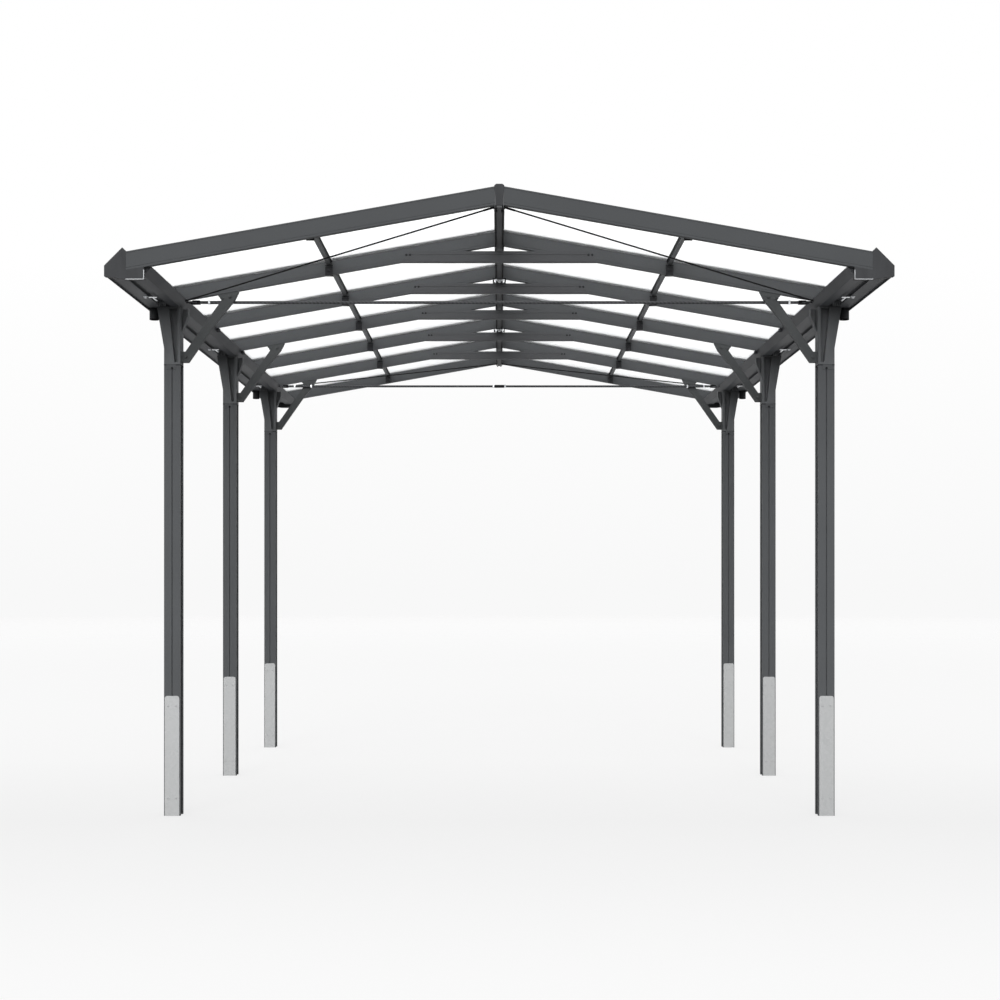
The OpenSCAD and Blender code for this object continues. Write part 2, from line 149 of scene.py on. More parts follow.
# %% [markdown]
# ## Powder-coated aluminium
# The profiles are extruded aluminium with a satin anthracite powder coat. The powder melts into a skin
# with a fine dimpled texture, called orange peel, so the eye sees an even dark grey with a soft sheen.
# The dimples are about 2 mm across. They are drawn at 5 mm, because finer ones don't show here.
# Faint cloudy tone, some 400 mm across, stands for the drift of a coat along a long bar, and the
# Bevel node finds edges, which are painted lighter: partly wear where the coat is thinner, partly a
# painted highlight for the light that edges catch.


# %% Make the powder coat in its tones
def powder_coat(name, hex_colour, roughness=0.55, specular=0.06):
    """Satin powder coat on metal, in one tone."""
    made, tree = new_material(name)
    place = add(tree, "ShaderNodeTexCoord").outputs["Object"]
    cloud = add(tree, "ShaderNodeTexNoise", {"Vector": place, "Scale": 2.5, "Detail": 3.0})
    grain = add(tree, "ShaderNodeTexNoise", {"Vector": place, "Scale": 200.0, "Detail": 2.0})
    tone = add(
        tree,
        "ShaderNodeMapRange",
        {"Value": cloud.outputs["Fac"], "From Min": 0.3, "From Max": 0.7, "To Min": 0.95, "To Max": 1.05},
    )
    fleck = add(
        tree,
        "ShaderNodeMapRange",
        {"Value": grain.outputs["Fac"], "From Min": 0.3, "From Max": 0.7, "To Min": 0.96, "To Max": 1.04},
    )
    both = add(
        tree,
        "ShaderNodeMath",
        {0: tone.outputs["Result"], 1: fleck.outputs["Result"]},
        operation="MULTIPLY",
    )
    coat = add(
        tree,
        "ShaderNodeVectorMath",
        {0: linear(hex_colour)[:3], "Scale": both.outputs[0]},
        operation="SCALE",
    )
    round_edge = add(tree, "ShaderNodeBevel", {"Radius": 0.002}, samples=4)
    flat = add(tree, "ShaderNodeNewGeometry")
    turn = add(
        tree,
        "ShaderNodeVectorMath",
        {0: round_edge.outputs[0], 1: flat.outputs["Normal"]},
        operation="DOT_PRODUCT",
    )
    edge = add(
        tree,
        "ShaderNodeMapRange",
        {
            "Value": turn.outputs["Value"],
            "From Min": 0.99,
            "From Max": 0.86,
            "To Min": 0.0,
            "To Max": 0.15,
        },
    )
    # edges painted lighter: partly wear, partly a painted highlight
    wear_and_painted_highlight = [min(1.0, v * 2.1) for v in linear(hex_colour)[:3]] + [1.0]
    colour = add(
        tree,
        "ShaderNodeMix",
        {"Factor": edge.outputs["Result"], 6: coat.outputs[0], 7: wear_and_painted_highlight},
        data_type="RGBA",
    )
    gloss = add(
        tree,
        "ShaderNodeMapRange",
        {
            "Value": cloud.outputs["Fac"],
            "From Min": 0.3,
            "From Max": 0.7,
            "To Min": roughness - 0.04,
            "To Max": roughness + 0.05,
        },
    )
    peel = add(
        tree,
        "ShaderNodeBump",
        {
            "Height": grain.outputs["Fac"],
            "Strength": 0.12,
            "Distance": 0.0006,
            "Normal": round_edge.outputs[0],
        },
    )
    shader = add(
        tree,
        "ShaderNodeBsdfPrincipled",
        {
            "Base Color": colour.outputs[2],
            "Roughness": gloss.outputs["Result"],
            "Normal": peel.outputs[0],
            "Specular IOR Level": specular,
        },
    )
    add(tree, "ShaderNodeOutputMaterial", {"Surface": shader.outputs[0]})
    return made


post_coat = powder_coat("post_powder_coat", "#5f6163")
# painted light: the inner rafters' coat is painted lighter, and the gables' darker, to make up for shade
# on the inner rafters
rafter_coat_painted_lighter = powder_coat("painted_lighter_rafter_powder_coat", "#5e6062")
gable_coat_painted_darker = powder_coat("painted_darker_gable_powder_coat", "#585a5c")
collar_coat = powder_coat("collar_powder_coat", "#5c5d5f")
gutter_coat = powder_coat("gutter_powder_coat", "#505255", specular=0.12)
ridge_coat = powder_coat("ridge_powder_coat", "#68696b")
purlin_coat = powder_coat("purlin_powder_coat", "#515355", specular=0.3)
brace_coat = powder_coat("brace_powder_coat", "#565859")
bracket_black = powder_coat("bracket_powder_coat", "#38393b")
print("made", len([m for m in bpy.data.materials if m.name.endswith("powder_coat")]), "powder coats")

# %% [markdown]
# ## Moulded plastic
# The post heads, end caps, outlets and clamp jaws are moulded in glass-filled nylon. The mould is
# spark-eroded, which gives a fine matt grain, about 1 mm, drawn at 3 mm. The filler flows in faint
# streaks away from the gate. The eye sees a duller, slightly warmer black-grey than the metal.


# %% Make the moulded plastic
def moulded(name, hex_colour, roughness):
    """Matt grained nylon, in one tone."""
    made, tree = new_material(name)
    place = add(tree, "ShaderNodeTexCoord").outputs["Object"]
    grain = add(tree, "ShaderNodeTexVoronoi", {"Vector": place, "Scale": 330.0}, feature="SMOOTH_F1")
    stretched = add(tree, "ShaderNodeMapping", {"Vector": place, "Scale": (18.0, 18.0, 4.0)})
    flow = add(
        tree,
        "ShaderNodeTexNoise",
        {"Vector": stretched.outputs[0], "Scale": 1.0, "Detail": 4.0, "Distortion": 0.6},
    )
    tone = add(
        tree,
        "ShaderNodeMapRange",
        {"Value": flow.outputs["Fac"], "From Min": 0.3, "From Max": 0.7, "To Min": 0.9, "To Max": 1.1},
    )
    colour = add(
        tree,
        "ShaderNodeVectorMath",
        {0: linear(hex_colour)[:3], "Scale": tone.outputs["Result"]},
        operation="SCALE",
    )
    round_edge = add(tree, "ShaderNodeBevel", {"Radius": 0.003}, samples=4)
    matt = add(
        tree,
        "ShaderNodeBump",
        {
            "Height": grain.outputs["Distance"],
            "Strength": 0.2,
            "Distance": 0.0005,
            "Normal": round_edge.outputs[0],
        },
    )
    shader = add(
        tree,
        "ShaderNodeBsdfPrincipled",
        {
            "Base Color": colour.outputs[0],
            "Roughness": roughness,
            "Normal": matt.outputs[0],
            "Specular IOR Level": 0.08,
        },
    )
    add(tree, "ShaderNodeOutputMaterial", {"Surface": shader.outputs[0]})
    return made


head_nylon = moulded("head_moulded_nylon", "#6c6e70", 0.6)
cap_nylon = moulded("cap_moulded_nylon", "#494a4c", 0.6)
outlet_nylon = moulded("outlet_moulded_nylon", "#363739", 0.55)
# painted light: the jaws' nylon is painted lighter, so that fins sitting in shade under the gutter read
# light
jaw_nylon_painted_lighter = moulded("painted_lighter_jaw_moulded_nylon", "#85878a", 0.6)
print("made the moulded nylon")

# %% [markdown]
# ## Galvanised and zinc-plated steel
# The foot plates are hot-dip galvanised. Zinc freezes on them in flat crystals, the spangle, here about
# 12 mm across, each turned a little differently to the light, with a dull grey bloom over all. Screws
# and clamps are zinc-plated instead: a thin bright coat with hardly any pattern and a blue-grey tint.

# %% Make the galvanised finish
galvanised, tree = new_material("hot_dip_galvanised_steel")
place = add(tree, "ShaderNodeTexCoord").outputs["Object"]
warp = add(tree, "ShaderNodeTexNoise", {"Vector": place, "Scale": 45.0, "Detail": 2.0})
bent = add(tree, "ShaderNodeMixRGB", {"Fac": 0.03, "Color1": place, "Color2": warp.outputs["Color"]})
crystals = add(
    tree, "ShaderNodeTexVoronoi", {"Vector": bent.outputs[0], "Scale": 85.0, "Randomness": 1.0}
)
facets = add(tree, "ShaderNodeRGBToBW", {"Color": crystals.outputs["Color"]})
bloom = add(tree, "ShaderNodeTexNoise", {"Vector": place, "Scale": 9.0, "Detail": 4.0})
tint = add(
    tree,
    "ShaderNodeMix",
    {"Factor": facets.outputs[0], 6: linear("#a5a7a8"), 7: linear("#bbbcbd")},
    data_type="RGBA",
)
dulled = add(
    tree,
    "ShaderNodeMix",
    {"Factor": bloom.outputs["Fac"], 6: tint.outputs[2], 7: linear("#b2b3b3")},
    data_type="RGBA",
)
matt = add(
    tree,
    "ShaderNodeMapRange",
    {"Value": facets.outputs[0], "To Min": 0.42, "To Max": 0.58},
)
shader = add(
    tree,
    "ShaderNodeBsdfPrincipled",
    {
        "Base Color": dulled.outputs[2],
        "Roughness": matt.outputs["Result"],
        "Metallic": 0.35,
        "Specular IOR Level": 0.4,
    },
)
add(tree, "ShaderNodeOutputMaterial", {"Surface": shader.outputs[0]})
print("made", galvanised.name)

# %% Make the zinc plating
zinc, tree = new_material("bright_zinc_plated_steel")
place = add(tree, "ShaderNodeTexCoord").outputs["Object"]
smear = add(tree, "ShaderNodeTexNoise", {"Vector": place, "Scale": 160.0, "Detail": 3.0})
tint = add(
    tree,
    "ShaderNodeMix",
    {"Factor": smear.outputs["Fac"], 6: linear("#d4d7da"), 7: linear("#f0f2f4")},
    data_type="RGBA",
)
polish = add(tree, "ShaderNodeMapRange", {"Value": smear.outputs["Fac"], "To Min": 0.22, "To Max": 0.4})
shader = add(
    tree,
    "ShaderNodeBsdfPrincipled",
    {"Base Color": tint.outputs[2], "Roughness": polish.outputs["Result"], "Metallic": 1.0},
)
add(tree, "ShaderNodeOutputMaterial", {"Surface": shader.outputs[0]})
print("made", zinc.name)

# %% [markdown]
# ## Opal twin-wall sheet
# The roof sheets are extruded polycarbonate: two skins joined by thin ribs that run down the slope. The
# skins are opal, so light comes through evenly scattered and the sheet glows white from below, while
# the bars above it stay hidden. The ribs show as fine, slightly greyer lines. The real ribs stand 6 mm
# apart. They are drawn every 12 mm, because finer lines merge into a haze at this size. Most of the
# sheet is air between thin skins, so it bends light far less than solid polycarbonate, with its 1.58.
#
# Glass holds back the light of lamps in a render, and a real opal sheet doesn't, so rays from lamps and
# from lit surfaces pass it through a Transparent shader instead.

# %% Make the twin-wall sheet
RIB_STEP = 0.012
sheet_opal, tree = new_material("opal_twin_wall_polycarbonate")
place = add(tree, "ShaderNodeTexCoord").outputs["Object"]
ribs = add(
    tree,
    "ShaderNodeTexWave",
    {"Vector": place, "Scale": 2 * math.pi / (20 * RIB_STEP)},
    bands_direction="Y",
)
rib_line = add(
    tree, "ShaderNodeMapRange", {"Value": ribs.outputs["Fac"], "From Min": 0.8, "From Max": 1.0}
)
haze = add(tree, "ShaderNodeTexNoise", {"Vector": place, "Scale": 3.0, "Detail": 3.0})
tint = add(
    tree,
    "ShaderNodeMix",
    {"Factor": rib_line.outputs["Result"], 6: linear("#fbfcfc"), 7: linear("#f1f3f4")},
    data_type="RGBA",
)
frost = add(tree, "ShaderNodeMapRange", {"Value": haze.outputs["Fac"], "To Min": 0.3, "To Max": 0.4})
relief = add(tree, "ShaderNodeBump", {"Height": ribs.outputs["Fac"], "Strength": 0.2, "Distance": 0.0004})
sheet = add(
    tree,
    "ShaderNodeBsdfPrincipled",
    {
        "Base Color": tint.outputs[2],
        "Roughness": frost.outputs["Result"],
        "IOR": 1.05,
        "Transmission Weight": 1.0,
        "Normal": relief.outputs[0],
    },
)
path = add(tree, "ShaderNodeLightPath")
lit = add(
    tree,
    "ShaderNodeMath",
    {0: path.outputs["Is Shadow Ray"], 1: path.outputs["Is Diffuse Ray"]},
    operation="MAXIMUM",
)
through = add(tree, "ShaderNodeBsdfTransparent", {"Color": linear("#fcfcfc")})
either = add(tree, "ShaderNodeMixShader", {0: lit.outputs[0], 1: sheet.outputs[0], 2: through.outputs[0]})
add(tree, "ShaderNodeOutputMaterial", {"Surface": either.outputs[0]})
print("made", sheet_opal.name)

# %% [markdown]
# ## Coated rod, wire rope and rubber
# The tie rods are drawn steel with a thin grey coat, a little glossier than the powder coat. Their forks
# and other small steel parts are black. The brace wires are black stranded rope. Faint slanting bands
# stand for its strands, 37 mm apart along the diagonal of the axes.
# Gaskets are soft black rubber, matt, with a hint of grey dust.


# %% Make the dark steels and the rubber
def dark_steel(name, hex_colour, roughness, band_scale, band_depth):
    """Dark coated steel, smooth or with the slanting bands of a rope."""
    made, tree = new_material(name)
    place = add(tree, "ShaderNodeTexCoord").outputs["Object"]
    lay = add(
        tree,
        "ShaderNodeTexWave",
        {"Vector": place, "Scale": band_scale, "Distortion": 1.5, "Detail": 1.0},
        bands_direction="DIAGONAL",
    )
    tint = add(
        tree,
        "ShaderNodeMix",
        {
            "Factor": lay.outputs["Fac"],
            6: linear(hex_colour),
            7: [v * 1.5 for v in linear(hex_colour)[:3]] + [1.0],
        },
        data_type="RGBA",
    )
    relief = add(
        tree, "ShaderNodeBump", {"Height": lay.outputs["Fac"], "Strength": 0.5, "Distance": band_depth}
    )
    shader = add(
        tree,
        "ShaderNodeBsdfPrincipled",
        {
            "Base Color": tint.outputs[2],
            "Roughness": roughness,
            "Normal": relief.outputs[0],
            "Specular IOR Level": 0.1,
        },
    )
    add(tree, "ShaderNodeOutputMaterial", {"Surface": shader.outputs[0]})
    return made


rod_grey = dark_steel("grey_coated_steel_rod", "#4c4d4f", 0.5, 30.0, 0.0001)
rod_black = dark_steel("black_coated_steel", "#19191b", 0.5, 30.0, 0.0001)
rope_black = dark_steel("black_coated_wire_rope", "#111112", 0.6, 17.0, 0.0006)

rubber, tree = new_material("black_gasket_rubber")
place = add(tree, "ShaderNodeTexCoord").outputs["Object"]
dust = add(tree, "ShaderNodeTexNoise", {"Vector": place, "Scale": 60.0, "Detail": 4.0})
tint = add(
    tree,
    "ShaderNodeMix",
    {"Factor": dust.outputs["Fac"], 6: linear("#0e0e0f"), 7: linear("#1a1a1a")},
    data_type="RGBA",
)
shader = add(
    tree,
    "ShaderNodeBsdfPrincipled",
    {"Base Color": tint.outputs[2], "Roughness": 0.75, "Specular IOR Level": 0.08},
)
add(tree, "ShaderNodeOutputMaterial", {"Surface": shader.outputs[0]})
print("made", rod_grey.name, rod_black.name, rope_black.name, rubber.name)

# %% [markdown]
# ## Finishing the solids
# Each solid already has a slot named in the record. The slot picks the finish, so that all the posts
# share one coat and all the caps share one plastic. Only the gable rafters differ from their slot: they
# get a darker copy of the rafters' coat. The two copies are painted shade and painted light, which make
# up for the shade that the gable and the roof throw on the inner rafters.

# %% Give each solid its finish
FINISH = {
    "coated_aluminium_posts": post_coat,
    "coated_aluminium_rafters": rafter_coat_painted_lighter,
    "coated_aluminium_collars": collar_coat,
    "coated_aluminium_gutters": gutter_coat,
    "coated_aluminium_ridge": ridge_coat,
    "coated_aluminium_purlins": purlin_coat,
    "coated_steel_braces": brace_coat,
    "moulded_heads": head_nylon,
    "moulded_caps": cap_nylon,
    "moulded_outlets": outlet_nylon,
    "galvanised_steel": galvanised,
    "twin_wall_sheet": sheet_opal,
    "black_steel_rod": rod_grey,
    "steel_wire": rope_black,
}
for part in frame["record"]["subparts"]:
    solid = nodes[part["node"]]
    # the gables take the darker copy of the rafters' coat: painted shade
    finish = gable_coat_painted_darker if "gable" in part["node"] else FINISH[part["material_slot"]]
    for slot in solid.material_slots:
        slot.material = finish

# %% [markdown]
# ## How the small parts are modelled
# A small part starts as a primitive, is shaped in edit mode and is then copied to its places. These
# helpers only select, copy and finish; the shaping is written out for each part. A copy is turned, and
# never mirrored, so its faces stay outwards. Copies of one kind are joined into one piece.


# %% Helpers for modelling
def deselect():
    """Back to object mode with nothing selected."""
    if bpy.context.mode != "OBJECT":
        bpy.ops.object.mode_set(mode="OBJECT")
    bpy.ops.object.select_all(action="DESELECT")


def pick(kind, test):
    """In edit mode, selects the vertices, edges or faces that pass a test on them."""
    mode = {"verts": "VERT", "edges": "EDGE", "faces": "FACE"}[kind]
    bpy.ops.mesh.select_mode(type=mode)
    bpy.ops.mesh.select_all(action="DESELECT")
    mesh = bmesh.from_edit_mesh(bpy.context.object.data)
    mesh.normal_update()
    for item in getattr(mesh, kind):
        if test(item):
            item.select_set(True)
    mesh.select_flush_mode()
    bmesh.update_edit_mesh(bpy.context.object.data)


def middle(item):
    """The middle of an edge or a face."""
    return sum((v.co for v in item.verts), Vector()) / len(item.verts)


def put_by(moves, master, name):
    """Copies a master to each move, a 4 x 4 matrix, and joins the copies into one piece."""
    deselect()
    for move in moves:
        copy = master.copy()
        copy.data = master.data.copy()
        copy.matrix_world = move @ master.matrix_world
        bpy.context.scene.collection.objects.link(copy)
        copy.select_set(True)
        bpy.context.view_layer.objects.active = copy
    bpy.ops.object.join()
    piece = bpy.context.object
    piece.name = piece.data.name = name
    return piece


def begin(name):
    """An empty mesh object at the origin, open in edit mode."""
    deselect()
    bpy.ops.object.add(type="MESH", location=(0, 0, 0))
    bpy.context.object.name = name
    bpy.ops.object.mode_set(mode="EDIT")
    return bpy.context.object


def done():
    """Leaves edit mode and hands over the object."""
    made = bpy.context.object
    deselect()
    return made


def block(corner, opposite, bevel):
    """In edit mode, adds a bar between two opposite corners, with its edges taken off."""
    low = Vector([min(a, b) for a, b in zip(corner, opposite)])
    high = Vector([max(a, b) for a, b in zip(corner, opposite)])
    centre = (low + high) / 2
    bpy.ops.mesh.primitive_cube_add(size=1, location=centre)
    bpy.ops.transform.resize(value=high - low, center_override=centre)
    bpy.ops.mesh.bevel(offset=bevel, segments=1)


def drop(master):
    """Takes a master away once its copies are made."""
    bpy.data.objects.remove(master)


def finish_piece(piece, slot, *materials):
    """Settles a piece: origin, merged corners, outward faces, smooth rounds, finish and body."""
    deselect()
    piece.select_set(True)
    bpy.context.view_layer.objects.active = piece
    bpy.ops.object.transform_apply(location=True, rotation=True, scale=True)
    bpy.ops.object.mode_set(mode="EDIT")
    bpy.ops.mesh.select_all(action="SELECT")
    bpy.ops.mesh.remove_doubles(threshold=0.00002)
    bpy.ops.mesh.normals_make_consistent(inside=False)
    bpy.ops.object.mode_set(mode="OBJECT")
    bpy.ops.object.shade_smooth_by_angle(angle=math.radians(35))
    if materials:
        piece.data.materials.clear()
        for material in materials:
            piece.data.materials.append(material)
    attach(piece, "root")
    print(piece.name, len(piece.data.polygons), "faces")
    return piece


def facing(place, out, spin=0.0):
    """A move that stands a master, modelled along +Z, on a place so that it points along out."""
    turn = Vector(out).to_track_quat("Z", "Y").to_matrix().to_4x4()
    return Matrix.Translation(place) @ turn @ Matrix.Rotation(spin, 4, "Z")


# %% [markdown]
# ## Bolts and screws
# A hexagon bolt is a six-sided prism with its top corners turned off, on a round washer. Both start as
# cylinders in one mesh. The coated ones hold the frame, and the zinc ones hold the clamps. A dome-headed
# screw with a rubber-backed washer holds the bars down on the sheets.

# %% Model a hexagon bolt
BOLT_ACROSS, BOLT_HEAD, WASHER_R, WASHER_T = 0.013, 0.0055, 0.010, 0.0018

deselect()
bpy.ops.mesh.primitive_cylinder_add(
    vertices=20, radius=WASHER_R, depth=WASHER_T, location=(0, 0, WASHER_T / 2)
)
bolt = bpy.context.object
bolt.name = "bolt"
bpy.ops.object.mode_set(mode="EDIT")
pick("edges", lambda e: all(v.co.z > WASHER_T * 0.9 for v in e.verts))
bpy.ops.mesh.bevel(offset=0.0006, segments=1)
bpy.ops.mesh.primitive_cylinder_add(
    vertices=6, radius=BOLT_ACROSS / math.sqrt(3), depth=BOLT_HEAD, location=(
        0, 0, WASHER_T + BOLT_HEAD / 2
    )
)
pick("faces", lambda f: f.normal.z > 0.9 and middle(f).z > WASHER_T + BOLT_HEAD * 0.9)
bpy.ops.mesh.inset(thickness=0.0009)
bpy.ops.transform.translate(value=(0, 0, 0.0006))
deselect()
print("bolt", [round(1000 * v, 1) for v in bolt.dimensions], "mm")

# %% Model a dome-headed screw
DOME_R, SEAL_R, SEAL_T = 0.0065, 0.0095, 0.0025

deselect()
bpy.ops.mesh.primitive_cylinder_add(vertices=20, radius=SEAL_R, depth=SEAL_T, location=(0, 0, SEAL_T / 2))
dome = bpy.context.object
dome.name = "dome"
bpy.ops.object.mode_set(mode="EDIT")
pick("faces", lambda f: f.normal.z > 0.9)
bpy.ops.mesh.inset(thickness=SEAL_R - DOME_R)
bpy.ops.mesh.extrude_region_move(TRANSFORM_OT_translate={"value": (0, 0, 0.0022)})
bpy.ops.mesh.extrude_region_move(TRANSFORM_OT_translate={"value": (0, 0, 0.0016)})
bpy.ops.transform.resize(value=(0.62, 0.62, 1))
bpy.ops.mesh.inset(thickness=0.0016)
bpy.ops.mesh.extrude_region_move(TRANSFORM_OT_translate={"value": (0, 0, -0.0018)})
deselect()
print("screw", [round(1000 * v, 1) for v in dome.dimensions], "mm")

# %% [markdown]
# ## Bolting the frame
# Each knee brace has a bolt through its foot bracket and two through its widened head. A collar has two
# small screws near each end, on its fine groove. The foot plates are held by low screws. A clip with one
# bolt ties each post to its head. A black band under each head is painted shade for the shadow in the
# seam there, and black strips in the posts' side channels are painted shade for the dark recesses.

# %% Put the frame's bolts in place
low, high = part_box("front_right_knee_brace")
BRACE_T, BRACE_TIP_X, BRACE_FOOT_X, BRACE_LOW = high.y - low.y, low.x, high.x, low.z
FOOT_BOLT_IN, FOOT_BOLT_UP = 0.022, 0.029
HEAD_BOLTS, HEAD_BOLT_DOWN = (0.045, 0.085), 0.022
COLLAR_SCREWS, COLLAR_SCREW_UP = (0.456, 0.475), 0.036
PLATE_T, PLATE_SCREW_LOW, PLATE_SCREW_DOWN, PLATE_SCREW_OUT = 0.004, 0.09, 0.05, 0.02
CLIP_IN, CLIP_OUT, CLIP_H, CLIP_T, CLIP_BOLT_DOWN = 0.02, 0.03, 0.026, 0.002, 0.019
SINK = 0.001  # how far a small part is let into the one it sits on

moves = []
for (end, side), (x, y) in posts.items():
    s = SIDES[side]
    for face in (-1, 1):
        out = y + face * BRACE_T / 2
        moves.append(
            facing((s * (BRACE_FOOT_X - FOOT_BOLT_IN), out, BRACE_LOW + FOOT_BOLT_UP), (0, face, 0), 0.3)
        )
        for along in HEAD_BOLTS:
            x_head = BRACE_TIP_X + along
            moves.append(facing((s * x_head, out, under(x_head) - HEAD_BOLT_DOWN), (0, face, 0), 0.3))
finish_piece(put_by(moves, bolt, "knee_brace_bolts"), "coated_steel_braces", brace_coat)

small = Matrix.Scale(0.6, 4)
moves = []
for n in rafter_y:
    low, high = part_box(f"collar_{n}")
    for face, y in ((-1, low.y), (1, high.y)):
        for s in (-1, 1):
            for x in COLLAR_SCREWS:
                moves.append(facing((s * x, y, low.z + COLLAR_SCREW_UP), (0, face, 0)) @ small)
finish_piece(put_by(moves, dome, "collar_screws"), "coated_aluminium_collars", bracket_black)

moves = []
for (end, side), (x, y) in posts.items():
    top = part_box(f"{side}_foot_plates")[1].z
    for face in (-1, 1):
        for z in (PLATE_SCREW_LOW, top - PLATE_SCREW_DOWN):
            for across in (-PLATE_SCREW_OUT, PLATE_SCREW_OUT):
                moves.append(
                    facing((x + across, y + face * (POST_D / 2 + PLATE_T), z), (0, face, 0)) @ small
                )
finish_piece(put_by(moves, dome, "foot_plate_screws"), "galvanised_steel", galvanised)

begin("post_head_clips")
moves = []
for (end, side), (x, y) in posts.items():
    s = SIDES[side]
    for face in (-1, 1):
        out = y + face * POST_D / 2
        inner_corner = (x - s * CLIP_IN, out - face * SINK, POST_TOP - CLIP_H)
        outer_corner = (x + s * CLIP_OUT, out + face * CLIP_T, POST_TOP - SINK)
        block(inner_corner, outer_corner, 0.0008)
        moves.append(
            facing((x, out + face * CLIP_T, POST_TOP - CLIP_BOLT_DOWN), (0, face, 0), 0.5) @ small
        )
finish_piece(done(), "coated_aluminium_posts", post_coat)
finish_piece(put_by(moves, bolt, "post_head_bolts"), "black_steel_rod", rod_black)

# %% Put a black band under each post head, painted shade for the shadow in the seam
SHADE_BAND_H, SHADE_BAND_OUT = 0.004, 0.0008

# painted shade: a black band where the seam between post and head shows a shadow gap
begin("post_head_shade_bands")
for x, y in posts.values():
    half_w, half_d = POST_W / 2 + SHADE_BAND_OUT, POST_D / 2 + SHADE_BAND_OUT
    block((x - half_w, y - half_d, POST_TOP - SHADE_BAND_H), (x + half_w, y + half_d, POST_TOP), 0.0004)
finish_piece(done(), "moulded_heads", rubber)

# %% Fill the posts' side channels with black strips, painted shade for the dark recesses
CHANNEL_HALF, STRIP_IN, STRIP_OUT = 0.0196, 0.0148, 0.005
STRIP_FOOT, STRIP_SHORT, RIB_HALF, RIB_RISE = 0.004, 0.006, 0.002, 0.0015

# painted shade: black strips that stand for the shade in the posts' side recesses
begin("post_channel_shade_strips")
for x, y in posts.values():
    for s in (-1, 1):
        deep, near = x + s * (POST_W / 2 - STRIP_IN), x + s * (POST_W / 2 - STRIP_OUT)
        block(
            (deep, y - CHANNEL_HALF, STRIP_FOOT), (near, y + CHANNEL_HALF, POST_TOP - STRIP_SHORT), 0.0015
        )
        for rib in (-0.012, 0.0, 0.012):
            rib_low = (near - s * 0.002, y + rib - RIB_HALF, STRIP_FOOT)
            block(rib_low, (near + s * RIB_RISE, y + rib + RIB_HALF, POST_TOP - STRIP_SHORT), 0.0006)
finish_piece(done(), "moulded_heads", rubber)

# %% [markdown]
# ## Clamps in the gutter beams
# On each side of a post head a zinc-plated clamp bridges the channel in the gutter beam's underside. Its
# crossbar spans the channel, a leg runs back to a ribbed nylon jaw, and a bolt draws it tight. A thin
# strip lines the channel between the heads.

# %% Make the gutter clamps
BAR_L, BAR_W, BAR_T, LEG_L, LEG_W = 0.041, 0.014, 0.006, 0.09, 0.009
CLAMP_X, CLAMP_AWAY, CLAMP_BOLT_OUT = POST_X + 0.036, 0.318, 0.036

clamp = begin("clamp")
block((-BAR_L / 2, -BAR_W / 2, -BAR_T), (BAR_L / 2, BAR_W / 2, 0), 0.0012)
block((-LEG_W / 2, BAR_W / 2 - 0.002, -BAR_T), (LEG_W / 2, LEG_L, -0.001), 0.001)
clamp = done()
moves = []
bolt_moves = []
for (end, side), (x, y) in posts.items():
    for face in (-1, 1):
        turn = Matrix.Rotation(0 if face < 0 else math.pi, 4, "Z")
        spot = Vector((SIDES[side] * CLAMP_X, y + face * CLAMP_AWAY, EAVE - SINK))
        moves.append(Matrix.Translation(spot) @ turn)
        bolt_moves.append(facing(spot + Vector((SIDES[side] * CLAMP_BOLT_OUT, 0, 0)), (0, 0, -1), 0.2))
finish_piece(put_by(moves, clamp, "gutter_clamps"), "galvanised_steel", zinc)
finish_piece(put_by(bolt_moves, bolt, "gutter_clamp_bolts"), "galvanised_steel", zinc)
drop(clamp)

# %% Make the ribbed jaws and the strips that line the channel
CHANNEL_X, CHANNEL_W = POST_X + 0.008, 0.051
STRIP_UP, JAW_AWAY = 0.012, 0.153
FINS, FIN_STEP, FIN_W, FIN_HALF, FIN_DOWN = 5, 0.0095, 0.0042, 0.006, 0.018

# the jaws use the lighter nylon, painted light for fins in shade
begin("clamp_jaws")
for (end, side), (x, y) in posts.items():
    s = SIDES[side]
    for face in (-1, 1):
        y0 = y + face * JAW_AWAY
        for k in range(FINS):
            fin = CHANNEL_X + 0.0015 + k * FIN_STEP
            fin_top = (s * (fin + FIN_W), y0 + FIN_HALF, EAVE + STRIP_UP - 0.001)
            block((s * fin, y0 - FIN_HALF, EAVE - FIN_DOWN), fin_top, 0.0008)
        bridge = (s * (CHANNEL_X + 0.001), y0 - 0.004, EAVE + 0.003)
        block(bridge, (s * (CHANNEL_X + 0.044), y0 + 0.004, EAVE + 0.0075), 0.0008)
finish_piece(done(), "moulded_heads", jaw_nylon_painted_lighter)

begin("gutter_channel_strips")
stands = sorted({y for x, y in posts.values()})
edges = [-HALF_L + RAFTER_T + 0.001]
for y in stands:
    edges += [y - 0.04, y + 0.04]
edges.append(HALF_L - RAFTER_T - 0.001)
for s in (-1, 1):
    for y0, y1 in zip(edges[::2], edges[1::2]):
        z = EAVE + STRIP_UP
        block(
            (s * (CHANNEL_X + 0.0015), y0, z),
            (s * (CHANNEL_X + CHANNEL_W - 0.0015), y1, z + 0.002),
            0.0005,
        )
        for across in (0.005, CHANNEL_W - 0.008):
            block(
                (s * (CHANNEL_X + across), y0, z - 0.0035),
                (s * (CHANNEL_X + across + 0.003), y1, z + 0.001),
                0.0005,
            )
finish_piece(done(), "coated_aluminium_gutters", gutter_coat)

# %% [markdown]
# ## Joints at the ridge
# At the second and fourth inner rafters the ridge beam is spliced. A zinc-plated spider grips the splice
# from below: a nut in the middle, and on each side an arm that turns down at its end. Two dark hooks
# beside it hold the rafters' upper ends. At each gable two prongs lock the ridge cap.
# Black strips along the edges of the ridge's underside are painted shade.

